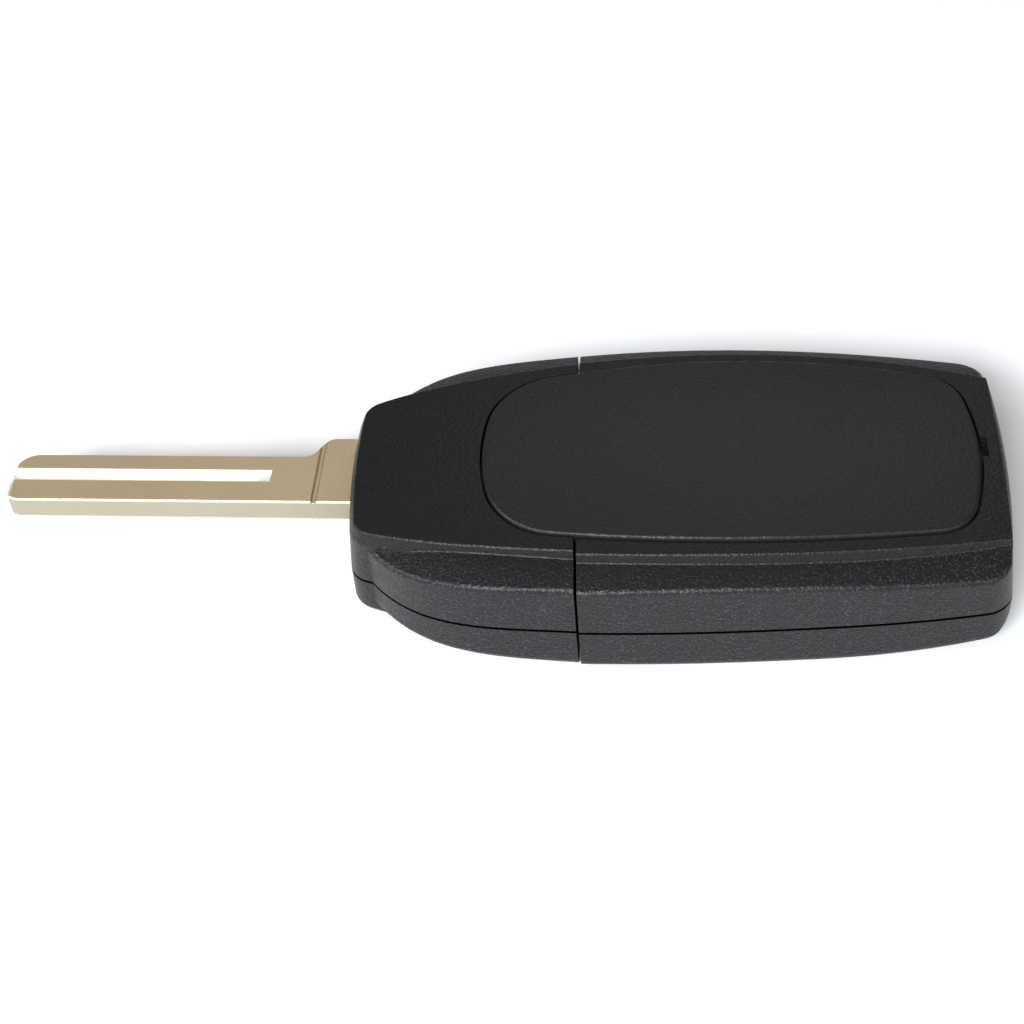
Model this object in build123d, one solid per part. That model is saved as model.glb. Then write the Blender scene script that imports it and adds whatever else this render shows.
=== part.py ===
from build123d import *
from math import sqrt
import os

# A folding car key fob, lying on its button side with the blade swung out.
# +X runs from the nose to the tail, +Y to the side that the blade folds into, +Z up.
# X = 0 is the seam between head and tail, Y = 0 the middle, Z = 0 the resting face.

os.makedirs("parts", exist_ok=True)

# Seams, walls and fits
split_gap = 0.3
parting_height = 6.1
parting_gap = 0.22
wall = 1.7
floor_thickness = 1.6
lip_height = 0.8
lip_thickness = 0.75
lip_clearance = 0.1
rib_thickness = 1.0
part_clearance = 0.15

# Hull of the case seen from above: half widths along each section
nose_x = -26.15
nose_side_end = (-25.6, 10.3)
tail_x = 48.85
tail_side_end = (47.6, 17.2)
end_lean = 0.5
nose_low_radius = 5.3
tail_low_radius = 4.3
head_hull_side = [(-28.0, 9.5), (-14.0, 13.75), (-7.0, 14.9), (0.0, 15.75)]
tail_hull_side = [(0.0, 16.1), (9.0, 16.65), (18.0, 16.8), (33.0, 16.0), (53.0, 12.4)]
nose_corner_radius = 3.0
tail_corner_radius = 3.6

# Rails that flare out beside the hull
head_rail_side = [(-24.6, 9.6), (-22.4, 12.6), (-18.0, 16.0), (-9.0, 18.5), (0.0, 19.3)]
tail_rail_side = [(0.0, 19.5), (12.0, 19.75), (24.0, 19.5), (36.0, 18.85), (52.0, 16.6)]

# Heights of the crowned tops along the middle
head_deck_line = [(-28.0, 13.85), (-14.0, 15.35), (-7.0, 15.85), (2.0, 16.3)]
tail_deck_line = [(-2.0, 15.95), (14.0, 16.35), (30.0, 15.8), (55.0, 12.9)]
cover_line = [(-14.0, 15.7), (0.0, 16.45), (15.0, 16.75), (30.0, 16.15), (50.0, 13.9)]
deck_crown_radius = 120.0
head_ledge_line = [(-28.0, 12.1), (-23.0, 13.2), (-17.0, 14.9), (-10.0, 15.95), (2.0, 16.6)]
tail_ledge_line = [(-2.0, 16.3), (12.0, 16.8), (24.0, 16.5), (36.0, 15.6), (55.0, 13.7)]
ledge_crown_radius = 52.0
bevel_run = 0.5
bevel_drop = 1.5
deck_edge_radius = 0.4
bevel_foot_radius = 0.2
rail_edge_radius = 0.7
tail_end_radius = 1.5

# Underside: flat to rest on, rising towards both ends
flat_start_x = -10.0
flat_end_x = 27.0
nose_rise_radius = 150.0
tail_rise_radius = 155.0
rail_rise_start_x = 4.0
rail_rise_radius = 190.0
underside_edge_radius = 1.3

# Battery cover: bowed ends and sides with rounded corners
cover_start_x = -10.8
cover_end_x = 45.9
cover_half_width = 14.5
cover_front_corner = (-8.3, 11.8)
cover_tail_corner = (43.8, 12.1)
cover_front_radius = 9.0
cover_tail_radius = 5.5
cover_gap = 0.3
cover_thickness = 1.5
cover_edge_radius = 0.45
cover_seat_gap = 0.1
tray_thickness = 1.3
cover_tabs = [(-4.0, 11.0), (-4.0, -11.0), (40.5, 9.0), (40.5, -9.0)]
cover_tab_size = (3.0, 0.9, 2.2)
pry_notch_y = 0.6
pry_notch_width = 3.2
pry_notch_depth = 0.7

# Pivot and blade. The blade leans a little when it is out, and lies along X when it is in
pivot = (-15.5, 8.0)
blade_lean = 2.6
blade_thickness = 3.0
blade_clearance = 0.25
blade_reach = 52.7
blade_width = 7.65
blade_near_offset = 9.85
shoulder_width = 10.75
shoulder_start = 13.6
shoulder_end = 17.7
blade_edge_chamfer = 0.15
tip_far_radius = 3.0
tip_near_radius = 1.5
tip_bevel = 0.5
groove_width = 1.95
groove_depth = 0.8
groove_from_far_edge = 2.45
groove_end = 21.0
groove_ramp = 2.2
score_reach = 15.0
score_width = 0.6
score_depth = 0.2
tang_end = 2.0
tang_corner = (2.5, 7.2)

# Hub, its pin and the release button
hub_radius = 6.3
hub_clearance = 0.15
cup_wall = 1.4
web_thickness = 0.8
cheek_thickness = 1.35
tang_fit = 0.05
trunnion_radius = 3.0
trunnion_length = 2.0
bearing_clearance = 0.05
boss_wall = 1.3
hub_pin_radius = 0.8
hub_pin_place = (-3.0, -2.2)
well_floor = 2.3
button_radius = 4.3
button_clearance = 0.2
button_recess = 0.15
button_travel = 1.2
button_plate = 1.3
button_wall = 0.9
lug_height = 2.0
lug_width = 2.4
lug_reach = 5.75
lug_play = 0.3
notch_floor = 1.2
spring_radius = 2.75
spring_wire = 0.45
spring_turns = 3.5

# Keys, mat, board and what is on it
key_names = ["lock", "unlock", "boot", "lights", "panic"]
key_places = [(9.5, 0.0), (19.5, 4.3), (19.5, -4.3), (30.0, 4.3), (30.0, -4.3)]
key_sizes = [(7.0, 14.0), (8.0, 7.4), (8.0, 7.4), (8.0, 7.4), (8.0, 7.4)]
key_corner_radius = 2.0
key_recess = 0.3
key_seat_gap = 0.05
key_clearance = 0.2
key_flange = 0.5
key_flange_thickness = 0.65
mat_start_x = 4.6
mat_end_x = 35.4
mat_near_y = -8.9
mat_thickness = 0.6
mat_gap = 0.1
mat_bump_radius = 1.6
mat_bump_height = 0.9
board_thickness = 1.0
board_height = 6.3
board_start_x = 4.2
board_end_x = 44.5
board_far_y = 8.2
board_margin = 0.5
post_radius = 1.3
board_posts = [(41.5, 5.5), (41.5, -10.5), (7.5, -13.2), (24.8, -11.5)]
switch_size = (4.5, 4.5, 1.6)
actuator_radius = 1.0
actuator_height = 0.65

# Battery and its tray
cell_place = (22.0, -3.2)
cell_radius = 10.0
cell_thickness = 3.2
cell_step = 0.8
cell_clearance = 0.4
cell_height = 10.7
cell_seat_gap = 0.1
cup_floor_thickness = 1.2
cup_ring_wall = 1.0
contact_thickness = 0.3
contact_width = 3.0

# Slot for the folded blade
slot_inner_y = 9.9
slot_end_x = 38.8
shoulder_relief_x = 3.4
shoulder_relief_y = 6.9
sweep_clearance = 0.35
slot_rib_places = (12.0, 26.0)

# Screws under the cover
screw_places = [(-5.0, -8.0), (-4.0, 1.0), (5.2, -9.6), (38.0, 1.0)]
screw_head_sink = 0.4
screw_head_radius = 1.75
screw_head_height = 1.0
screw_radius = 0.9
screw_hole_clearance = 0.1
screw_boss_wall = 1.2

# Capsule in the head
transponder_radius = 1.5
transponder_length = 12.0
transponder_place = (-14.0, -10.0)
transponder_height = 4.0

# Tongue that joins tail to head
tongue_side = (-5.3, -1.7)
tongue_level = (2.4, 3.9)
tongue_reach = 3.6
tongue_barb = (0.8, 0.5)

# Levels worked out from the sizes above
lower_top = parting_height - parting_gap / 2
upper_bottom = parting_height + parting_gap / 2
blade_bottom = parting_height + blade_clearance
blade_top = blade_bottom + blade_thickness
slot_top = blade_top + blade_clearance
half_split = split_gap / 2
mat_bottom = floor_thickness + key_seat_gap + key_flange_thickness + mat_gap
tall = 40.0


def plan_face(side):
    """closed outline seen from above: mirrored spline sides and straight ends"""
    far = Spline(*side)
    near = Spline(*[(x, -y) for x, y in side])
    return make_face([far, near, *[Line((x, y), (x, -y)) for x, y in (side[0], side[-1])]])


def under_crown(line, radius, sink=0.0):
    """all that lies under a top crowned along its line, and across it with the given radius"""
    axis_height = max(z for _, z in line) - radius
    heights = [(x, z - axis_height - sink) for x, z in line]
    sides = Polyline(heights[-1], (heights[-1][0], 0), (heights[0][0], 0), heights[0])
    upright = Plane((0, 0, axis_height), x_dir=(1, 0, 0), z_dir=(0, -1, 0))
    section = upright * make_face([Spline(*heights), sides])
    axis = Axis((0, 0, axis_height), (1, 0, 0))
    return revolve(section, axis, 60).rotate(axis, -30)


def height_below(x, start_x=flat_start_x, rise_radius=nose_rise_radius):
    """height of the underside's lengthwise profile above the resting face"""
    nose_part = max(start_x - x, 0) ** 2 / (2 * rise_radius)
    tail_part = max(x - flat_end_x, 0) ** 2 / (2 * tail_rise_radius)
    return nose_part + tail_part


def above_underside(raise_by=0.0, start_x=flat_start_x, rise_radius=nose_rise_radius):
    """all that lies above the underside's lengthwise profile"""
    nose_end_x = nose_x - 2
    tail_end_x = tail_x + 2
    nose_end = (nose_end_x, height_below(nose_end_x, start_x, rise_radius))
    tail_end = (tail_end_x, height_below(tail_end_x))
    profile = [
        Line((start_x, 0), (flat_end_x, 0)),
        TangentArc((flat_end_x, 0), tail_end, tangent=(1, 0)),
        TangentArc((start_x, 0), nose_end, tangent=(-1, 0)),
        Polyline(tail_end, (tail_end_x, tall), (nose_end_x, tall), nose_end),
    ]
    return extrude(Plane.XZ * make_face(profile), tall, both=True).moved(Location((0, 0, raise_by)))


def prism(face, low, high):
    """face extruded from one height to another"""
    return extrude(face.moved(Location((0, 0, low))), high - low)


def block(x0, x1, y0, y1, z0, z1):
    """plain block between two corners"""
    return Box(x1 - x0, y1 - y0, z1 - z0, align=Align.MIN).moved(Location((x0, y0, z0)))


def post(place, radius, low, high):
    """upright round solid"""
    return Cylinder(radius, high - low, align=(Align.CENTER, Align.CENTER, Align.MIN)).moved(
        Location((*place, low))
    )


def drawn_in(face, inset):
    """outline drawn in by inset, with its curved sides as splines"""
    edges = []
    for edge in offset(face, -inset).edges():
        if edge.geom_type == GeomType.OFFSET:
            edge = Spline(*[edge @ (step / 8) for step in range(9)], tangents=[edge % 0, edge % 1])
        edges.append(edge)
    return make_face(edges)


def end_cap(end_x, corner, profile):
    """solid whose side view at one bowed end is the given profile of (distance out, height)"""
    side = 1 if end_x > 0 else -1
    bow = abs(end_x - corner[0])
    face_radius = (corner[1] ** 2 + bow**2) / (2 * bow)
    section = Plane.XZ * make_face(profile).moved(Location((face_radius, 0, 0)))
    shift = end_x + side * (half_split - face_radius)
    return revolve(section, Axis.Z, 360).moved(Location((shift, 0, 0)))


def leaning_end(end_x, corner, inset=0.0):
    """all that lies within an end face that leans outwards going down to the parting line"""
    out = end_lean - inset
    low_line = Polyline((-1.5 * tall, 0), (out, 0), (out, parting_height))
    high_line = Polyline((out, parting_height), (out - 3 * end_lean, 4 * parting_height), (-1.5 * tall, tall))
    return end_cap(end_x, corner, [low_line, high_line, Line((-1.5 * tall, tall), (-1.5 * tall, 0))])


def end_edges(solid, outward):
    """the two upright edges at the outer end of a section"""
    upright = [e for e in solid.edges() if abs(e.tangent_at(0.5).Z) > 0.9]
    return sorted(upright, key=lambda e: outward * e.center().X)[-2:]


def deck_face(solid):
    return [f for f in solid.faces() if f.geom_type == GeomType.REVOLUTION and abs(f.center().Y) < 1]


def ledge_edges(solid, outer):
    """long edges of both ledges: the outer ones, or those at the foot of the bevel"""
    ledges = [f for f in solid.faces() if f.geom_type == GeomType.REVOLUTION and abs(f.center().Y) > 5]
    edges = [e for f in ledges for e in f.edges() if e.length > 15]
    middle = sum(abs(e.center().Y) for e in edges) / len(edges)
    return [e for e in edges if (abs(e.center().Y) > middle) == outer]


# Plan outlines of both sections
head_hull_face = plan_face(head_hull_side).moved(Location((-half_split, 0)))
head_rail_face = plan_face(head_rail_side).moved(Location((-half_split, 0)))
tail_hull_face = plan_face(tail_hull_side).moved(Location((half_split, 0)))
tail_rail_face = plan_face(tail_rail_side).moved(Location((half_split, 0)))
nose_lean = leaning_end(nose_x, nose_side_end)
tail_lean = leaning_end(tail_x, tail_side_end)


def round_top(solid):
    """rounds the rail's edge, the foot of the bevel and the deck's edge, in that order"""
    solid = fillet(ledge_edges(solid, True), rail_edge_radius)
    solid = fillet(ledge_edges(solid, False), bevel_foot_radius)
    rim = [e for f in deck_face(solid) for e in f.edges() if abs(e.center().X) > 1]
    rim = [e for e in rim if e.center().X < tail_x - 1]
    return fillet(rim, deck_edge_radius)


def head_outside():
    """hull with a bevelled deck, and the two rails lower down beside it"""
    hull = prism(head_hull_face, upper_bottom, tall) & nose_lean
    hull = fillet(end_edges(hull, -1), nose_corner_radius) & under_crown(head_deck_line, deck_crown_radius)
    deck = deck_face(hull)[0]
    rim = [e for e in deck.edges() if e.center().X < -1]
    hull = chamfer(rim, bevel_run, bevel_drop, reference=deck)
    rails = prism(head_rail_face, upper_bottom, tall) & under_crown(head_ledge_line, ledge_crown_radius)
    rails &= under_crown(head_deck_line, deck_crown_radius, deck_edge_radius)
    return round_top(hull + rails)


def tail_outside():
    """the same for the tail, where hull and rails end in one bowed face"""
    hull = prism(tail_hull_face, upper_bottom, tall) & under_crown(tail_deck_line, deck_crown_radius)
    deck = deck_face(hull)[0]
    rim = [e for e in deck.edges() if abs(e.center().Y) > 1]
    hull = chamfer(rim, bevel_run, bevel_drop, reference=deck)
    envelope = prism(tail_rail_face, upper_bottom, tall) & tail_lean
    envelope = fillet(end_edges(envelope, 1), tail_corner_radius)
    rails = envelope & under_crown(tail_ledge_line, ledge_crown_radius)
    rails &= under_crown(tail_deck_line, deck_crown_radius, deck_edge_radius)
    return round_top((hull + rails) & envelope) & tail_end_cap()


def height_at(place, body):
    """height of a crowned top above one place"""
    upright = Axis((*place, 0), (0, 0, 1))
    return max(point.Z for point, _ in body.find_intersection_points(upright))


def tail_end_cap():
    """all that lies within the rounded upper edge of the tail's end face"""
    deck = under_crown(tail_deck_line, deck_crown_radius)
    top = height_at((tail_x - tail_end_radius, 0), deck)
    return end_cap(tail_x, tail_side_end, [
        CenterArc((-tail_end_radius, top - tail_end_radius), tail_end_radius, 0, 90),
        Polyline((-tail_end_radius, top), (-tail_end_radius, tall), (-1.5 * tall, tall), (-1.5 * tall, 0)),
        Polyline((-1.5 * tall, 0), (tall, 0), (tall, top - tail_end_radius), (0, top - tail_end_radius)),
    ])


def rounded_below(end_x, corner, radius, low):
    """all that lies within the rounded lower edge of an end face"""
    return end_cap(end_x, corner, [
        CenterArc((end_lean - radius, low + radius), radius, 270, 90),
        Polyline((end_lean, low + radius), (end_lean, tall), (-1.5 * tall, tall), (-1.5 * tall, 0)),
        Polyline((-1.5 * tall, 0), (end_lean - radius, 0), (end_lean - radius, low)),
    ])


def plan_solid(sections, inset, low, high):
    """hull and rail outlines of one section, drawn in by inset and extruded together"""
    parts = [prism(drawn_in(face, inset), low, high) for face in sections[:2]]
    return (parts[0] + parts[1]) & leaning_end(*sections[2:], inset)


def inner_room(sections, deck_line, ledge_line, inset):
    """room under the deck and the ledges, drawn in by inset from the outside"""
    under_deck = under_crown(deck_line, deck_crown_radius, inset)
    room = prism(drawn_in(sections[0], inset), 0, tall) & under_deck
    rails = prism(drawn_in(sections[1], inset), 0, tall) & under_crown(ledge_line, ledge_crown_radius, inset)
    return (room + (rails & under_deck)) & leaning_end(*sections[2:], inset)


def head_lower_outside():
    """lower half of the head from outside, with its rails rising sooner than its middle"""
    hull = prism(head_hull_face, 0, lower_top) & nose_lean
    hull = round_underside(fillet(end_edges(hull, -1), nose_corner_radius), above_underside())
    rails = prism(head_rail_face, 0, lower_top)
    rails = round_underside(rails, above_underside(0, rail_rise_start_x, rail_rise_radius))
    low = height_below(nose_x + nose_low_radius)
    return (hull + rails) & rounded_below(nose_x, nose_side_end, nose_low_radius, low)


def tail_lower_outside():
    """lower half of the tail from outside"""
    rails = prism(tail_rail_face, 0, lower_top) & tail_lean
    body = round_underside(fillet(end_edges(rails, 1), tail_corner_radius), above_underside())
    low = height_below(tail_x - tail_low_radius)
    return body & rounded_below(tail_x, tail_side_end, tail_low_radius, low)


def round_underside(body, above):
    """shapes the underside of a lower half and rounds its edge"""
    body &= above
    low = [f for f in body.faces() if f.normal_at().Z < -0.5]
    rim = [e for f in low for e in f.edges() if abs(e.center().X) > 1 and e not in shared_edges(low)]
    return fillet(rim, underside_edge_radius)


def shared_edges(faces):
    """edges that two of the faces share"""
    edges = [e for f in faces for e in f.edges()]
    return [e for e in edges if edges.count(e) > 1]


def cover_outline(inset=0.0):
    """oval outline of the battery cover"""
    fx, fy = cover_front_corner
    tx, ty = cover_tail_corner
    middle_x = (fx + tx) / 2
    face = make_face([
        ThreePointArc((fx, fy), (cover_start_x, 0), (fx, -fy)),
        ThreePointArc((fx, -fy), (middle_x, -cover_half_width), (tx, -ty)),
        ThreePointArc((tx, -ty), (cover_end_x, 0), (tx, ty)),
        ThreePointArc((tx, ty), (middle_x, cover_half_width), (fx, fy)),
    ])
    corners = face.vertices().sort_by(Axis.X)
    face = fillet(corners[:2], cover_front_radius)
    face = fillet([v for v in face.vertices() if (v.X - tx) ** 2 < 0.01], cover_tail_radius)
    return drawn_in(face, inset) if inset else face


def at_pivot(shape):
    """moves a shape modelled about the pivot to its place, with the blade's lean"""
    return Location((*pivot, 0)) * Rotation(0, 0, -blade_lean) * shape


def swept_slot():
    """room that the blade passes through between folded and swung out"""
    px, py = pivot
    reach = sqrt(blade_near_offset**2 + tang_corner[0] ** 2) + sweep_clearance
    nose_side = py - blade_near_offset - 2 * sweep_clearance
    return (
        post(pivot, reach, lower_top - lip_height - 1, slot_top)
        + block(nose_x - 5, px, nose_side, tall, 0, slot_top)
        + block(px, slot_end_x, slot_inner_y, tall, 0, slot_top)
        + block(px, shoulder_relief_x, shoulder_relief_y, tall, 0, slot_top)
    )


def lip(sections, grow=0.0):
    """ring that stands up from a lower half inside the upper half"""
    outer = wall - lip_thickness - grow
    inner = wall + grow
    high = lower_top + lip_height + parting_gap / 2 + grow
    ring = plan_solid(sections, outer, lower_top - wall, high) - plan_solid(sections, inner, 0, tall)
    return ring - swept_slot_room


def tab_slots():
    """holes in the tray for the cover's tabs"""
    sx, sy, sz = cover_tab_size
    slots = []
    for x, y in cover_tabs:
        low = height_at((x, y), cover_top) - cover_thickness - sz - 2 * part_clearance
        half_x = sx / 2 + part_clearance
        half_y = sy / 2 + part_clearance
        slots.append(block(x - half_x, x + half_x, y - half_y, y + half_y, low, tall))
    return slots[0] + slots[1:]


head_sections = (head_hull_face, head_rail_face, nose_x, nose_side_end)
tail_sections = (tail_hull_face, tail_rail_face, tail_x, tail_side_end)
swept_slot_room = swept_slot()
cover_top = under_crown(cover_line, deck_crown_radius)
tray_floor = under_crown(cover_line, deck_crown_radius, cover_thickness + cover_seat_gap)
tray_underside = under_crown(cover_line, deck_crown_radius, cover_thickness + cover_seat_gap + tray_thickness)
cover_recess = prism(cover_outline(-cover_gap), 0, tall) - tray_floor
screw_hole = screw_radius + screw_hole_clearance


def upper_half(outside, sections, deck_line, ledge_line, screws, fittings):
    """hollow upper half with inner fittings, the cover's recess, its tray and the screw bosses"""
    hollow = inner_room(sections, deck_line, ledge_line, wall)
    tray = (prism(cover_outline(-cover_gap - wall), upper_bottom, tall) & outside) - tray_underside
    shell = outside - hollow + tray
    shell += fittings & inner_room(sections, deck_line, ledge_line, wall / 2)
    shell -= cover_recess
    for place in screws:
        top = height_at(place, tray_floor) - screw_head_sink
        shell += post(place, screw_hole + screw_boss_wall, upper_bottom, top)
        shell -= post(place, screw_hole, 0, tall)
        shell -= post(place, screw_head_radius + part_clearance, top - screw_head_height, tall)
    return shell - tab_slots()


def lower_half(outside, sections, screws, fittings, rise=(flat_start_x, nose_rise_radius)):
    """hollow lower half with inner fittings, its lip and screw bosses"""
    hollow = plan_solid(sections, wall, 0, tall) & above_underside(floor_thickness, *rise)
    fittings += [post(place, screw_hole + screw_boss_wall, 0, lower_top) for place in screws]
    fittings &= plan_solid(sections, wall / 2, 0, tall) & above_underside(floor_thickness / 2, *rise)
    shell = outside - hollow + fittings + lip(sections)
    for place in screws:
        shell -= post(place, screw_hole, floor_thickness, tall)
    return shell


def blade_plan():
    """blade and tang seen from above, about the pivot, with the tip towards -X"""
    near = -blade_near_offset
    far = near + blade_width
    shoulder = near + shoulder_width
    middle_x = -(shoulder_start + shoulder_end) / 2
    middle_y = (far + shoulder) / 2
    outline = [
        Polyline((-shoulder_end, far), (-blade_reach, far), (-blade_reach, near), (-tang_corner[0], near)),
        Polyline(
            (-tang_corner[0], near),
            (tang_end, -tang_corner[1]),
            (tang_end, shoulder),
            (-shoulder_start, shoulder),
        ),
        Spline(
            (-shoulder_start, shoulder),
            (middle_x, middle_y),
            (-shoulder_end, far),
            tangents=[(-1, 0), (-1, 0)],
        ),
    ]
    face = make_face(outline)
    tip = [v for v in face.vertices() if v.X < 1 - blade_reach]
    face = fillet(max(tip, key=lambda v: v.Y), tip_far_radius)
    tip = [v for v in face.vertices() if v.X < 1 - blade_reach]
    return fillet(min(tip, key=lambda v: v.Y), tip_near_radius)


def make_blade():
    """milled blade with a stepped groove in both faces and a scored line behind the shank"""
    body = prism(blade_plan(), blade_bottom, blade_top)
    rims = body.edges().group_by(Axis.Z)[0] + body.edges().group_by(Axis.Z)[-1]
    body = chamfer([e for e in rims if e.center().X < -shoulder_start], blade_edge_chamfer)
    side = make_face(Polyline(
        (tang_end, blade_bottom),
        (tip_bevel - blade_reach, blade_bottom),
        (-blade_reach, blade_bottom + tip_bevel),
        (-blade_reach, blade_top - tip_bevel),
        (tip_bevel - blade_reach, blade_top),
        (tang_end, blade_top),
        close=True,
    ))
    body &= extrude(Plane.XZ * side, tall, both=True)
    far = blade_width - blade_near_offset - groove_from_far_edge
    near = far - groove_width
    corner = (-groove_end, near)
    past_tip = -blade_reach - 1
    groove = make_face(Polyline((past_tip, far), (-groove_end, far), corner, (past_tip, near), close=True))
    ramp = make_face(Polyline((-groove_end, far), corner, (-groove_end - groove_ramp, near), close=True))
    score = block(-score_reach - score_width, -score_reach, -blade_near_offset - 1, 2, 0, score_depth)
    for face_height, into in ((blade_top, -1), (blade_bottom, 1)):
        low, high = sorted((face_height, face_height + into * groove_depth))
        half_way = face_height + into * groove_depth / 2
        step_low, step_high = sorted((half_way, face_height + into * groove_depth))
        body -= prism(groove, low, high) - prism(ramp, step_low, step_high)
        body -= score.moved(Location((0, 0, face_height - (score_depth if into < 0 else 0))))
    body -= post(hub_pin_place, hub_pin_radius + tang_fit, 0, tall)
    return at_pivot(body)


lug_high = well_floor + hub_clearance + lug_height
button_face = button_recess + button_travel
web_bottom = blade_bottom - tang_fit - web_thickness
cheek_top = blade_top + tang_fit + cheek_thickness
cup_bottom = well_floor + hub_clearance
cup_inner = hub_radius - cup_wall


def lugs(reach, width, low, high):
    """bar across the button that its two lugs are the ends of"""
    return block(-width / 2, width / 2, -reach, reach, low, high) & post((0, 0), reach, low, high)


def make_hub():
    """drum with a slot for the tang, a cup for button and spring below and a trunnion above"""
    body = post((0, 0), hub_radius, cup_bottom, cheek_top)
    body += post((0, 0), trunnion_radius, cheek_top, cheek_top + trunnion_length)
    body -= post((0, 0), cup_inner, cup_bottom, web_bottom)
    body -= lugs(hub_radius + 1, lug_width + 2 * hub_clearance, cup_bottom, lug_high + hub_clearance)
    shoulder = shoulder_width - blade_near_offset + tang_fit
    slot = block(-tall, tang_end + tang_fit, -tall, shoulder, blade_bottom - tang_fit, blade_top + tang_fit)
    body -= slot
    body -= post(hub_pin_place, hub_pin_radius + tang_fit, 0, cheek_top - tang_fit)
    return at_pivot(body)


def make_hub_pin():
    """roll pin, split along its length"""
    pin = post(hub_pin_place, hub_pin_radius, web_bottom, cheek_top - 2 * tang_fit)
    pin -= post(hub_pin_place, hub_pin_radius * 0.5, 0, tall)
    x, y = hub_pin_place
    pin -= block(x, x + hub_radius, y - hub_pin_radius / 6, y + hub_pin_radius / 6, 0, tall)
    return at_pivot(pin)


def make_release_button():
    """cup-shaped button whose two lugs lock hub and case, stored pressed in"""
    rim_top = lug_high
    body = post((0, 0), button_radius, button_face, rim_top)
    body += lugs(lug_reach, lug_width, cup_bottom, rim_top)
    body -= post((0, 0), button_radius - button_wall, button_face + button_plate, rim_top)
    body = chamfer(body.edges().group_by(Axis.Z)[0], 0.25)
    return at_pivot(body)


def make_release_spring():
    """short coil spring between button and hub web"""
    low = button_face + button_plate + spring_wire / 2 + 0.05
    high = web_bottom - spring_wire / 2 - 0.05
    path = Helix(pitch=(high - low) / spring_turns, height=high - low, radius=spring_radius)
    section = Plane(path @ 0, z_dir=path % 0) * Circle(spring_wire / 2)
    return at_pivot(sweep(section, path).moved(Location((0, 0, low))))


def make_head_upper():
    """upper half of the head: deck, rail tops and bearing boss for the hub"""
    fittings = post(pivot, hub_radius + hub_clearance + boss_wall, slot_top, tall)
    sections = head_outside(), head_sections, head_deck_line, head_ledge_line, screw_places[:2]
    shell = upper_half(*sections, fittings)
    shell -= post(pivot, hub_radius + hub_clearance, 0, cheek_top + hub_clearance)
    shell -= post(pivot, trunnion_radius + bearing_clearance, 0, cheek_top + trunnion_length + hub_clearance)
    shell -= swept_slot_room
    shell -= lip(head_sections, lip_clearance)
    return shell


def make_head_lower():
    """lower half of the head: well for the hub, button hole with lock notches, capsule cradle"""
    well = hub_radius + hub_clearance
    fittings = post(pivot, well + boss_wall, 0, lower_top)
    px, py = transponder_place
    grip = transponder_radius + part_clearance
    half = transponder_length / 2
    near = py - grip - rib_thickness
    far = py + grip + rib_thickness
    for x in (px - half / 2, px + half / 2):
        start = x - rib_thickness / 2
        high = transponder_height + transponder_radius / 2
        fittings += block(start, start + rib_thickness, near, far, 0, high)
    rise = (rail_rise_start_x, rail_rise_radius)
    shell = lower_half(head_lower_outside(), head_sections, screw_places[:2], fittings, rise)
    shell -= post(pivot, well, well_floor, tall)
    capsule_room = Cylinder(grip, transponder_length + 2 * part_clearance, rotation=(0, 90, 0))
    shell -= capsule_room.moved(Location((px, py, transponder_height)))
    shell -= block(px - half, px + half, py - grip, py + grip, transponder_height, lower_top)
    hole = post((0, 0), button_radius + button_clearance, -1, tall)
    for turn in (0, 180 - blade_lean):
        room = lugs(lug_reach + part_clearance, lug_width + 2 * lug_play, notch_floor, tall)
        hole += Rotation(0, 0, -turn) * room
    shell -= at_pivot(hole) & post(pivot, well, -1, tall)
    near, far = tongue_side
    low, high = tongue_level
    window = block(-half_split - wall - 1, 1, near, far, low, high)
    return shell - offset(window, part_clearance, kind=Kind.INTERSECTION)


def make_cover():
    """oval clip-on cover with a rounded edge and four tabs"""
    body = prism(cover_outline(), 0, tall) & cover_top
    body -= under_crown(cover_line, deck_crown_radius, cover_thickness)
    top = max(body.faces(), key=lambda f: f.center().Z)
    body = fillet(top.edges(), cover_edge_radius)
    sx, sy, sz = cover_tab_size
    for x, y in cover_tabs:
        base = height_at((x, y), cover_top) - cover_thickness
        body += block(x - sx / 2, x + sx / 2, y - sy / 2, y + sy / 2, base - sz, base + cover_thickness / 2)
    return body


def cell_cup():
    """ring and floor that hold the coin cell"""
    inner = cell_radius + cell_clearance
    low = cell_height - cell_seat_gap - cup_floor_thickness
    cup = post(cell_place, inner + cup_ring_wall, low, tall) & tray_floor
    return cup - post(cell_place, inner, low + cup_floor_thickness, tall)


def make_tail_upper():
    """upper half of the tail: deck, rail tops, cover recess with the battery cup, slot wall"""
    inner_y = slot_inner_y - rib_thickness
    walls = block(half_split, slot_end_x + wall, inner_y, slot_inner_y, upper_bottom, tall)
    walls += block(slot_end_x, slot_end_x + wall, inner_y, tall, upper_bottom, tall)
    for x in slot_rib_places:
        walls += block(x, x + rib_thickness, inner_y, tall, slot_top, tall)
    sections = tail_outside(), tail_sections, tail_deck_line, tail_ledge_line, screw_places[2:]
    shell = upper_half(*sections, walls)
    shell -= post(cell_place, cell_radius + cell_clearance, board_height, tall)
    shell += cell_cup()
    shell -= swept_slot_room
    shell -= lip(tail_sections, lip_clearance)
    shell -= negative_slot() + positive_slot()
    near = pry_notch_y - pry_notch_width / 2
    far = pry_notch_y + pry_notch_width / 2
    notch = block(cover_end_x - 1, cover_end_x + cover_gap + pry_notch_depth, near, far, 0, tall)
    return shell - (notch - tray_floor)


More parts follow.
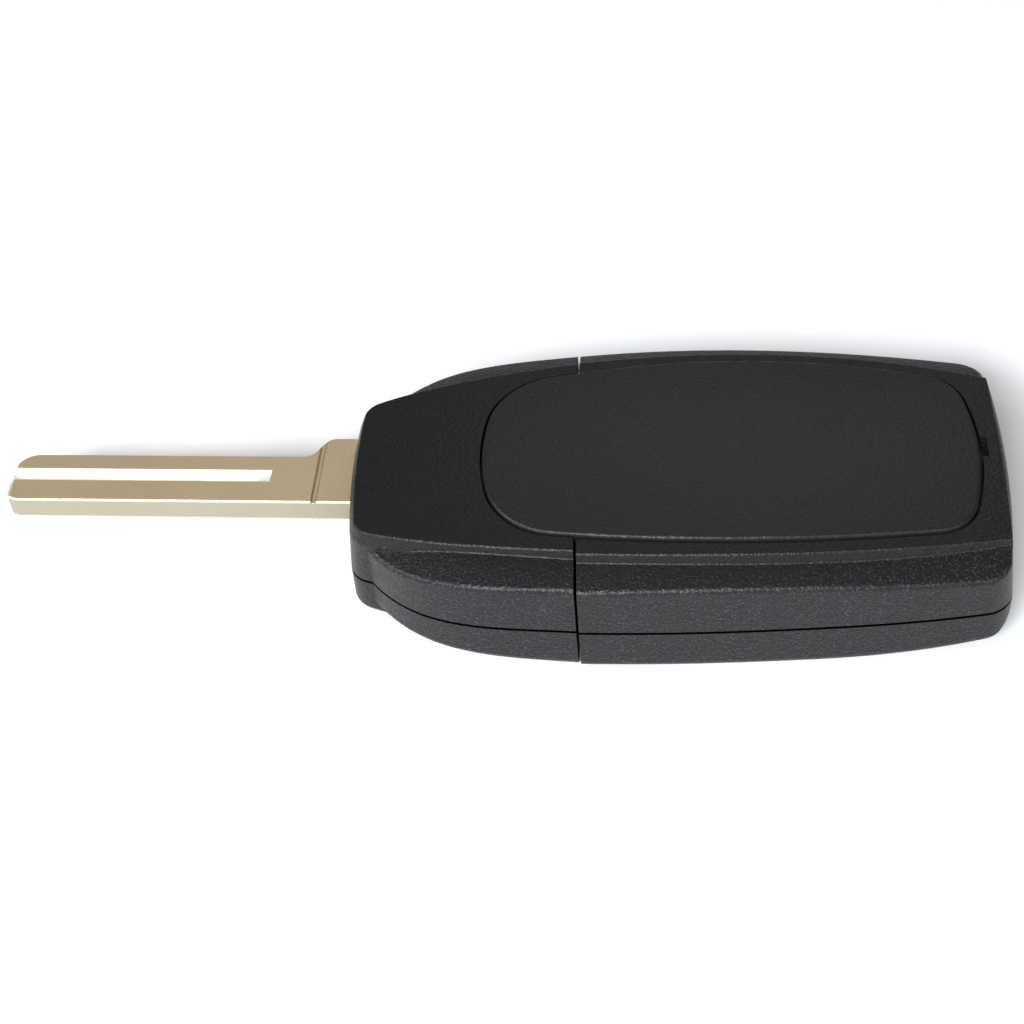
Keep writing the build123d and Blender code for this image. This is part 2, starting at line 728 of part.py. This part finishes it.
def make_tail_lower():
    """lower half of the tail: key openings, board posts, slot ribs and the tongue to the head"""
    inner = [post(place, post_radius, 0, board_height) for place in board_posts]
    for y in (slot_inner_y + rib_thickness, (slot_inner_y + tail_rail_side[0][1]) / 2):
        inner.append(block(half_split, slot_end_x + wall, y, y + rib_thickness, 0, lower_top))
    fittings = inner[0] + inner[1:]
    shell = lower_half(tail_lower_outside(), tail_sections, screw_places[2:], fittings)
    near, far = tongue_side
    low, high = tongue_level
    barb_length, barb_height = tongue_barb
    shell += block(-tongue_reach, half_split + wall / 2, near, far, low, high)
    shell += block(-tongue_reach, barb_length - tongue_reach, near, far, high, high + barb_height)
    for place, size in zip(key_places, key_sizes):
        shell -= key_prism(place, size, key_clearance, -1, floor_thickness + 1)
        shell -= key_prism(place, size, key_flange + key_clearance, floor_thickness, mat_bottom)
    return shell


def key_prism(place, size, grow, low, high):
    """rounded block for a key, grown all round"""
    face = RectangleRounded(size[0] + 2 * grow, size[1] + 2 * grow, key_corner_radius + grow)
    return prism(face, low, high).moved(Location((*place, 0)))


def make_key(place, size):
    """plain key cap with a flange that keeps it in the case"""
    seat = floor_thickness + key_seat_gap
    cap = key_prism(place, size, 0, key_recess, seat)
    cap = fillet(cap.edges().group_by(Axis.Z)[0], 0.4)
    return cap + key_prism(place, size, key_flange, seat, seat + key_flange_thickness)


def make_mat():
    """silicone sheet with a bump under each switch"""
    sheet = block(mat_start_x, mat_end_x, mat_near_y, board_far_y, mat_bottom, mat_bottom + mat_thickness)
    for place in screw_places[2:]:
        sheet -= post(place, screw_hole + screw_boss_wall + part_clearance, 0, tall)
    high = mat_bottom + mat_thickness + mat_bump_height
    return sheet + [post(place, mat_bump_radius, mat_bottom, high) for place in key_places]


def make_board():
    """circuit board, cut back beside the blade's slot"""
    outline = drawn_in(tail_rail_face, wall + board_margin)
    body = prism(outline, board_height, board_height + board_thickness)
    body &= block(board_start_x, board_end_x, -tall, board_far_y, 0, tall)
    for place in screw_places[2:]:
        body -= post(place, screw_hole + screw_boss_wall + part_clearance, 0, tall)
    return body


def make_switch(place):
    """push switch with its round plunger, hung under the board"""
    x, y = place
    sx, sy, sz = switch_size
    body = block(x - sx / 2, x + sx / 2, y - sy / 2, y + sy / 2, board_height - sz, board_height)
    body = chamfer(body.edges().group_by(Axis.Z)[0], 0.3)
    return body + post(place, actuator_radius, board_height - sz - actuator_height, board_height - sz)


def make_cell():
    """coin cell: a wide can with a stepped face below"""
    step = post(cell_place, cell_radius - cell_step, cell_height, cell_height + cell_thickness)
    can = post(cell_place, cell_radius, cell_height + cell_step / 2, cell_height + cell_thickness)
    can = fillet(can.edges().group_by(Axis.Z)[-1], 0.4)
    return can + (step - can)


def strip(points, y, width):
    """bent metal strip of even thickness, seen along Y"""
    face = trace(Polyline(*points), contact_thickness)
    return extrude(Plane.XZ * face, width / 2, both=True).moved(Location((0, y, 0)))


def make_negative_contact():
    """strip that springs up from the board to the cell's underside"""
    x, y = cell_place
    low = board_height + board_thickness + contact_thickness / 2
    high = cell_height - contact_thickness / 2 - 0.02
    return strip([(x - 7, low), (x - 3.5, low), (x, high), (x + 1.6, high - 0.8)], y, contact_width)


def negative_slot():
    x, y = cell_place
    half = contact_width / 2 + part_clearance
    return block(x - 4.5, x + 2.6, y - half, y + half, board_height + board_thickness, cell_height)


def make_positive_contact():
    """strip that stands up beside the cell's rim"""
    x, y = cell_place
    low = board_height + board_thickness + contact_thickness / 2
    rim = x - cell_radius - contact_thickness / 2 - 0.05
    return strip([(rim - 3, low), (rim, low), (rim, cell_height + cell_thickness - 0.4)], y, contact_width)


def positive_slot():
    x, y = cell_place
    half = contact_width / 2 + part_clearance
    rim = x - cell_radius
    start = rim - contact_thickness - 3 * part_clearance
    return block(start, rim + 1, y - half, y + half, upper_bottom, cell_height + cell_thickness)


def make_transponder():
    """sealed capsule with rounded ends"""
    px, py = transponder_place
    body = Cylinder(transponder_radius, transponder_length, rotation=(0, 90, 0))
    body = fillet(body.edges(), transponder_radius * 0.6)
    return body.moved(Location((px, py, transponder_height)))


def make_screws():
    """self-tapping screws with cross recesses, all in one group"""
    screws = []
    for place in screw_places:
        top = height_at(place, tray_floor) - screw_head_sink
        body = post(place, screw_head_radius, top - screw_head_height, top)
        body += post(place, screw_radius, floor_thickness + part_clearance, top - screw_head_height)
        cross = Box(2.0, 0.45, 1.2) + Box(0.45, 2.0, 1.2)
        screws.append(body - cross.moved(Location((*place, top))))
    return Compound(children=screws)


def write(name, shape):
    shape.label = name
    export_step(shape, f"parts/{name}.step")


board_top = board_height + board_thickness
chip = fillet(block(28.0, 34.0, -13.5, -7.5, board_top, board_top + 0.9).edges().filter_by(Axis.Z), 0.3)
crystal = fillet(block(35.5, 40.5, -4.6, -2.6, board_top, board_top + 1.2).edges().filter_by(Axis.Z), 0.9)

write("head_upper", make_head_upper())
write("head_lower", make_head_lower())
write("tail_upper", make_tail_upper())
write("tail_lower", make_tail_lower())
write("battery_cover", make_cover())
write("blade", make_blade())
write("blade_hub", make_hub())
write("hub_pin", make_hub_pin())
write("release_button", make_release_button())
write("release_spring", make_release_spring())
write("key_mat", make_mat())
write("circuit_board", make_board())
write("coin_cell", make_cell())
write("contact_negative", make_negative_contact())
write("contact_positive", make_positive_contact())
write("transponder", make_transponder())
write("controller_chip", chip)
write("crystal", crystal)
write("case_screws", make_screws())
for key_name, key_place, key_size in zip(key_names, key_places, key_sizes):
    write(f"key_{key_name}", make_key(key_place, key_size))
    write(f"switch_{key_name}", make_switch(key_place))
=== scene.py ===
from math import cos, radians, sin

import bpy
from mathutils import Matrix, Vector


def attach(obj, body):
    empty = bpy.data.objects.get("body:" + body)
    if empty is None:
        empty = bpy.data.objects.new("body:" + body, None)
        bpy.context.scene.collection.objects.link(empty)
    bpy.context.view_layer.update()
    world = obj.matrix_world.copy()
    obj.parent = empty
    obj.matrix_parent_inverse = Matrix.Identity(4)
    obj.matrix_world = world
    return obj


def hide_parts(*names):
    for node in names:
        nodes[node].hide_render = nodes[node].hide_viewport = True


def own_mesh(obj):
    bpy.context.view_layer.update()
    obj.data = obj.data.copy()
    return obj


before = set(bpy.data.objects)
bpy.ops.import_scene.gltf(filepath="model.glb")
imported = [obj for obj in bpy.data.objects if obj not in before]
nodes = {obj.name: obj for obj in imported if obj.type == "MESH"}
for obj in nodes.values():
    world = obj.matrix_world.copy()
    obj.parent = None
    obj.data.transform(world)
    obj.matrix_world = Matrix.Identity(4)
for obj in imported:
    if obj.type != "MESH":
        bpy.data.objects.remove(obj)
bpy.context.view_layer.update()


# Studio. A white table top under a big cool softbox beside the camera, with a lower one at each end
# and a dim warm one behind, so that the deck stays dark while edges and near walls catch light.
cool_white = (0.95, 0.97, 1.0)
warm_white = (1.0, 0.96, 0.91)
floor_size = 6.0
air_glow = 0.08
scene = bpy.context.scene
scene.view_settings.view_transform = "Standard"

bpy.ops.object.select_all(action="DESELECT")
bpy.ops.mesh.primitive_plane_add(size=floor_size, location=(0, 0, 0))
floor = bpy.context.object
floor.name = "floor"

softboxes = [
    ("softbox_front", (-0.22, -0.66, 0.56), (0.0, -0.01, 0.0), 0.45, 0.24, 11.0, cool_white),
    ("softbox_left", (-0.62, -0.16, 0.36), (-0.03, 0.0, 0.0), 0.30, 0.30, 3.2, cool_white),
    ("softbox_right", (0.52, -0.46, 0.45), (0.02, 0.0, 0.0), 0.30, 0.30, 2.0, cool_white),
    ("softbox_back", (0.08, 0.42, 0.44), (0.01, 0.0, 0.0), 0.40, 0.25, 0.40, warm_white),
]
for lamp_name, place, aim, width, height, power, tint in softboxes:
    lamp = bpy.data.lights.new(lamp_name, "AREA")
    lamp.shape = "RECTANGLE"
    lamp.size = width
    lamp.size_y = height
    lamp.energy = power
    lamp.color = tint
    holder = bpy.data.objects.new(lamp_name, lamp)
    holder.location = place
    holder.rotation_euler = (Vector(aim) - Vector(place)).to_track_quat("-Z", "Y").to_euler()
    scene.collection.objects.link(holder)

world = bpy.data.worlds.new("studio_air")
world.use_nodes = True
scene.world = world
background = world.node_tree.nodes["Background"]
background.inputs["Color"].default_value = (1, 1, 1, 1)
background.inputs["Strength"].default_value = air_glow

camera_place = (0.0109, -0.1824, 0.1954)
azimuth = radians(-5.93)
elevation = radians(45.97)
roll = radians(-5.56)
camera = bpy.data.cameras.new("camera")
camera.lens = 78.4
camera.sensor_width = 36.0
camera.clip_start = 0.01
view = bpy.data.objects.new("camera", camera)
view.matrix_world = (
    Matrix.Translation(camera_place)
    @ Matrix.Rotation(-azimuth, 4, "Z")
    @ Matrix.Rotation(radians(90) - elevation, 4, "X")
    @ Matrix.Rotation(roll, 4, "Z")
)
scene.collection.objects.link(view)
scene.camera = view


# Shader maths. An output is a node's socket on which Python's operators add Math nodes, and a finish
# is one material with all its nodes.
class Output:
    """a node's output socket; + - * > < and abs on it add Math nodes"""

    def __init__(self, finish, socket):
        self.finish = finish
        self.socket = socket

    def __add__(self, other):
        return self.finish.maths("ADD", self, other)

    __radd__ = __add__

    def __mul__(self, other):
        return self.finish.maths("MULTIPLY", self, other)

    def __sub__(self, other):
        return self.finish.maths("SUBTRACT", self, other)

    def __rsub__(self, other):
        return self.finish.maths("SUBTRACT", other, self)

    def __gt__(self, other):
        return self.finish.maths("GREATER_THAN", self, other)

    def __lt__(self, other):
        return self.finish.maths("LESS_THAN", self, other)

    def __abs__(self):
        return self.finish.maths("ABSOLUTE", self)

    def step(self, low, high):
        """0 below low, 1 above high, smooth between"""
        ramp = {"interpolation_type": "SMOOTHSTEP"}
        return self.finish.add("ShaderNodeMapRange", ramp, self, low, high, 0.0, 1.0)


class Finish:
    """one material, with its plain settings written on the shader's own sockets"""

    def __init__(self, name, **plain):
        self.material = bpy.data.materials.new(name)
        self.material.use_nodes = True
        self.tree = self.material.node_tree
        self.shader = self.tree.nodes["Principled BSDF"]
        for socket, value in plain.items():
            self.shader.inputs[socket.replace("_", " ")].default_value = value
        place = self.tree.nodes.new("ShaderNodeTexCoord")
        self.place = Output(self, place.outputs["Object"])
        self.x, self.y, self.z = self.split(self.place)

    def put(self, socket, value):
        """links an output to a socket, or writes a plain value on it"""
        if isinstance(value, Output):
            self.tree.links.new(value.socket, socket)
        elif value is not None:
            socket.default_value = value

    def add(self, kind, settings, *values, out=0, **named):
        """adds a node: its settings, then the values or links of its sockets, in order or by name"""
        node = self.tree.nodes.new(kind)
        for key, value in settings.items():
            setattr(node, key, value)
        for socket, value in zip([s for s in node.inputs if s.enabled], values):
            self.put(socket, value)
        for key, value in named.items():
            self.put(node.inputs[key.replace("_", " ")], value)
        return Output(self, node.outputs[out])

    def split(self, vector):
        node = self.tree.nodes.new("ShaderNodeSeparateXYZ")
        self.tree.links.new(vector.socket, node.inputs[0])
        return [Output(self, socket) for socket in node.outputs]

    def noise(self, scale, detail=2.0, roughness=0.5):
        sockets = {"Vector": self.place, "Scale": scale, "Detail": detail, "Roughness": roughness}
        return self.add("ShaderNodeTexNoise", {}, **sockets)

    def maths(self, operation, *values):
        return self.add("ShaderNodeMath", {"operation": operation}, *values)

    def mix(self, factor, first, second):
        """from the first colour, where factor is 0, to the second"""
        node = self.tree.nodes.new("ShaderNodeMix")
        node.data_type = "RGBA"
        self.put(node.inputs["Factor"], factor)
        self.put(node.inputs[6], first)
        self.put(node.inputs[7], second)
        return Output(self, node.outputs[2])

    def bump(self, height, distance, strength=1.0, edge=None):
        """normal from a height field in metres, on edges rounded off by edge metres"""
        rounded = self.add("ShaderNodeBevel", {"samples": 6}, Radius=edge) if edge else None
        sockets = {"Strength": strength, "Distance": distance, "Height": height, "Normal": rounded}
        self.give(Normal=self.add("ShaderNodeBump", {}, **sockets))

    def give(self, **sockets):
        """puts values or links on the shader's sockets"""
        for socket, value in sockets.items():
            self.put(self.shader.inputs[socket.replace("_", " ")], value)

    def paint_shade(self, factor):
        """paints shade: fades to a black that takes no shine, where factor is 1"""
        black = self.tree.nodes.new("ShaderNodeBsdfDiffuse")
        black.inputs["Color"].default_value = (0.001, 0.001, 0.001, 1)
        either = self.tree.nodes.new("ShaderNodeMixShader")
        self.put(either.inputs[0], factor)
        self.tree.links.new(self.shader.outputs[0], either.inputs[1])
        self.tree.links.new(black.outputs[0], either.inputs[2])
        self.tree.links.new(either.outputs[0], self.tree.nodes["Material Output"].inputs["Surface"])

    def wear_on(self, *names):
        """puts this finish on frame nodes"""
        for name in names:
            for slot in nodes[name].material_slots:
                slot.material = self.material


white_sweep = Finish("white_sweep", Base_Color=(0.93, 0.93, 0.93, 1), Roughness=0.9)
floor.data.materials.append(white_sweep.material)


# Case. Four mouldings in near-black filled plastic. The tool's spark-eroded grain leaves a fine even
# pebble. Pale specks on it are painted glints, most of them below the deck. No light reaches the
# lips of the parting line, so painted shade, a black that takes no shine, lies on them and it reads as a
# groove.
parting_height = 0.0061
parting_shade_lip = 0.00019
glints_fade_from = 0.0120
glints_fade_to = 0.0145
glint_grey = (0.16, 0.16, 0.18, 1)
grain_depth = 0.00022
moulded_edge = 0.00012


def moulded(name, dark, pale, glint_share, relief, gloss):
    """grained plastic with painted glints, and painted shade along the parting line"""
    plastic = Finish(name, Specular_IOR_Level=gloss)
    grain = plastic.noise(3200, detail=1.0)
    pebble = plastic.noise(2300, detail=1.0)
    # painted glints: pale specks, most of them below the deck, on the walls
    painted_glints = plastic.noise(4600, detail=1.0).step(0.54, 0.70)
    glints_below_deck = 1.15 - plastic.z.step(glints_fade_from, glints_fade_to)
    shade = plastic.mix(plastic.noise(45, detail=3.0), dark, pale)
    plastic.give(
        Base_Color=plastic.mix(painted_glints * glints_below_deck * glint_share, shade, glint_grey),
        Roughness=0.32 + grain * 0.16,
    )
    plastic.bump((grain * 0.6 + pebble * 0.4) * relief, grain_depth, edge=moulded_edge)
    # painted shade: the parting line's lips fade to black
    plastic.paint_shade(abs(plastic.z - parting_height) < parting_shade_lip)
    return plastic


case_dark = (0.0065, 0.0062, 0.0066, 1)
case_pale = (0.0100, 0.0096, 0.0102, 1)
case_plastic = moulded("case_plastic", case_dark, case_pale, glint_share=0.17, relief=0.6, gloss=0.29)
case_plastic.wear_on("head_upper", "head_lower", "tail_upper", "tail_lower")


# Battery cover. Clipped on, moulded in the same plastic in a tool of its own. It is coloured a shade
# lighter than the case and given a smoother grain.
cover_dark = (0.0110, 0.0106, 0.0110, 1)
cover_pale = (0.0140, 0.0135, 0.0140, 1)
cover_plastic = moulded("cover_plastic", cover_dark, cover_pale, glint_share=0.20, relief=0.45, gloss=0.27)
cover_plastic.wear_on("battery_cover")


# Blade. Nickel-silver strip, bead-blasted on its flats before its groove is milled, so the groove is
# bright and the flats are matt and warm, while the sides are coloured greyer and darker. The scored
# line across the shank has painted shade on its rounded sides.
lean = radians(2.6)
pivot_x = -0.0155
pivot_y = 0.0080
middle_height = 0.00785
groove_near = -0.00663
groove_far = -0.00462
groove_end = -0.0209
milled_below = 0.00144
sides_within = 0.00122
score_place = -0.0153
score_floor_fade = (0.00008, 0.00020)
score_sides_fade = (0.00034, 0.00048)
flat_dark = (0.69, 0.56, 0.36, 1)
flat_pale = (0.86, 0.70, 0.46, 1)
edge_dark = (0.43, 0.40, 0.315, 1)
edge_pale = (0.48, 0.45, 0.355, 1)
score_shade_brown = (0.36, 0.28, 0.17, 1)
groove_bright = (0.96, 0.93, 0.82, 1)
metal_edge = 0.0001

blade_metal = Finish("blade_metal")
blast = blade_metal.noise(3000, detail=3.0, roughness=0.6)
tone = blade_metal.noise(120, detail=3.0, roughness=0.6) * 0.5 + blast * 0.5
across = (blade_metal.y - pivot_y) * cos(lean) + (blade_metal.x - pivot_x) * sin(lean)
along = (blade_metal.x - pivot_x) * cos(lean) - (blade_metal.y - pivot_y) * sin(lean)
off_middle = abs(blade_metal.z - middle_height)
cut = (across > groove_near) * (across < groove_far) * (along < groove_end) * (off_middle < milled_below)
# painted shade: the score line's rounded sides are coloured brown, while its floor keeps the flats' colour
score_off = abs(along - score_place)
painted_score_shade = score_off.step(*score_floor_fade) * (1 - score_off.step(*score_sides_fade))
flat_shade = blade_metal.mix(tone, flat_dark, flat_pale)
flat_shade = blade_metal.mix(painted_score_shade * 0.55, flat_shade, score_shade_brown)
edge_shade = blade_metal.mix(tone, edge_dark, edge_pale)
matt_shade = blade_metal.mix(off_middle < sides_within, flat_shade, edge_shade)
blade_metal.give(
    Base_Color=blade_metal.mix(cut, matt_shade, groove_bright),
    Metallic=0.92 - cut * 0.35,
    Roughness=0.48 + blast * 0.14 - cut * 0.14,
)
blade_metal.bump(blast * (1 - cut), 0.00008, edge=metal_edge)
blade_metal.wear_on("blade")


# Hub, pin and spring. The hub is a black zinc die casting, held on the blade's tang by a bright split
# pin. The release button's coil spring is wound from plain steel wire.
casting = Finish("hub_casting", Roughness=0.42, Metallic=0.6)
casting.give(Base_Color=casting.mix(casting.noise(900), (0.03, 0.03, 0.032, 1), (0.05, 0.05, 0.053, 1)))
casting.bump(casting.noise(2500, detail=3.0), 0.00003, 0.5, edge=metal_edge)
casting.wear_on("blade_hub")


def patchy(name, scale, dark, pale, smooth, spread, detail=3.0, fineness=0.5, dents=0, **plain):
    """a finish whose shade, roughness and dents all follow one noise"""
    finish = Finish(name, **plain)
    patches = finish.noise(scale, detail, fineness)
    finish.give(Base_Color=finish.mix(patches, dark, pale), Roughness=smooth + patches * spread)
    if dents:
        finish.bump(patches, dents, 0.4, edge=metal_edge)
    return finish


wire_dark = (0.42, 0.42, 0.44, 1)
wire_pale = (0.58, 0.58, 0.60, 1)
wire = patchy("spring_wire", 1400, wire_dark, wire_pale, smooth=0.22, spread=0.15, Metallic=1.0)
wire.wear_on("hub_pin", "release_spring")


# Release button and keys. Moulded in a softer plastic than the case, a shade lighter and with a finer
# grain. The keys lie loose in their openings, where their flanges keep them from falling out.
key_dark = (0.019, 0.020, 0.022, 1)
key_pale = (0.027, 0.028, 0.031, 1)
key_plastic = Finish("key_plastic")
fine = key_plastic.noise(7000, detail=3.0, roughness=0.6)
key_plastic.give(
    Base_Color=key_plastic.mix(key_plastic.noise(60), key_dark, key_pale),
    Roughness=0.48 + fine * 0.14,
)
key_plastic.bump(fine, 0.00003, 0.5, edge=0.00015)
key_plastic.wear_on("key_lock", "key_unlock", "key_boot", "key_lights", "key_panic", "release_button")


# Key mat. Grey silicone with a slightly cloudy surface, one sheet with a post under each switch. A
# pressed key flattens its own fifth of the sheet against its switch, so the sheet is cut in five
# along seams between the keys. Each seam is x, y and the direction in which the sheet is taken away.
silicone = Finish("silicone", Roughness=0.7)
silicone.give(Base_Color=silicone.mix(silicone.noise(200), (0.06, 0.062, 0.066, 1), (0.09, 0.092, 0.097, 1)))
silicone.wear_on("key_mat")
seam_gap = 0.00002
merge_distance = 0.000001
first_seam = 0.01425
second_seam = 0.02475
before_first = (first_seam, 0, 1, 0)
past_first = (first_seam, 0, -1, 0)
before_second = (second_seam, 0, 1, 0)
past_second = (second_seam, 0, -1, 0)
far_half = (0, 0, 0, -1)
near_half = (0, 0, 0, 1)
mat_fifths = {
    "lock": [before_first],
    "unlock": [past_first, before_second, far_half],
    "boot": [past_first, before_second, near_half],
    "lights": [past_second, far_half],
    "panic": [past_second, near_half],
}
for key, seams in mat_fifths.items():
    mesh = nodes["key_mat"].data.copy()
    mesh.transform(nodes["key_mat"].matrix_world)
    fifth = bpy.data.objects.new(f"mat_{key}", mesh)
    scene.collection.objects.link(fifth)
    bpy.ops.object.select_all(action="DESELECT")
    fifth.select_set(True)
    bpy.context.view_layer.objects.active = fifth
    bpy.ops.object.mode_set(mode="EDIT")
    bpy.ops.mesh.select_all(action="SELECT")
    bpy.ops.mesh.remove_doubles(threshold=merge_distance)
    bpy.ops.mesh.faces_shade_flat()
    for x, y, away_x, away_y in seams:
        inside = (x - away_x * seam_gap, y - away_y * seam_gap, 0)
        bpy.ops.mesh.select_all(action="SELECT")
        bpy.ops.mesh.bisect(plane_co=inside, plane_no=(away_x, away_y, 0), use_fill=True, clear_outer=True)
    bpy.ops.object.mode_set(mode="OBJECT")
    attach(fifth, "case")
    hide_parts("key_mat")
    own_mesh(fifth)


# Circuit board. Glass-fibre laminate under green solder mask, whose copper tracks show as paler,
# raised lines. It lies on four posts of the case.
mask = Finish("solder_mask")
tracks = mask.add("ShaderNodeTexBrick", {}, Vector=mask.place, Scale=260, Mortar_Size=0.08, out=1)
mask.give(
    Base_Color=mask.mix(tracks, (0.010, 0.085, 0.035, 1), (0.020, 0.15, 0.06, 1)),
    Roughness=0.28 + mask.noise(900) * 0.15,
)
mask.bump(tracks, 0.00003, 0.4)
mask.wear_on("circuit_board")


# Switches, coin cell, crystal and contact strips. The switches' lids, the cell and the crystal's can
# are stamped and drawn steel sheet, and the strips that hold the cell are plated spring metal.
sheet_dark = (0.52, 0.53, 0.54, 1)
sheet_pale = (0.66, 0.67, 0.68, 1)
stamped = patchy(
    "stamped_steel",
    700,
    sheet_dark,
    sheet_pale,
    smooth=0.24,
    spread=0.16,
    detail=4.0,
    fineness=0.6,
    dents=0.00002,
    Metallic=1.0,
)
stamped.wear_on(
    "switch_lock", "switch_unlock", "switch_boot", "switch_lights", "switch_panic", "coin_cell", "crystal"
)
strip_dark = (0.60, 0.56, 0.44, 1)
strip_pale = (0.72, 0.68, 0.55, 1)
plated = patchy("plated_strip", 1500, strip_dark, strip_pale, smooth=0.25, spread=0.12, Metallic=1.0)
plated.wear_on("contact_positive", "contact_negative")


# Controller and capsule. Both are moulded round in dark resin. The chip is soldered to the board, and
# the transponder's capsule lies in a cradle of the head.
resin_dark = (0.014, 0.014, 0.015, 1)
resin_pale = (0.024, 0.024, 0.026, 1)
package = patchy("moulded_package", 4000, resin_dark, resin_pale, smooth=0.45, spread=0.2)
package.wear_on("controller_chip", "transponder")


# Case screws. Dark zinc-plated steel, driven under the battery cover through the upper halves into
# bosses of the lower ones.
screw_dark = (0.14, 0.14, 0.145, 1)
screw_pale = (0.24, 0.24, 0.25, 1)
screw_steel = patchy(
    "screw_steel", 1800, screw_dark, screw_pale, smooth=0.3, spread=0.15, dents=0.00002, Metallic=1.0
)
screw_steel.wear_on("case_screws")
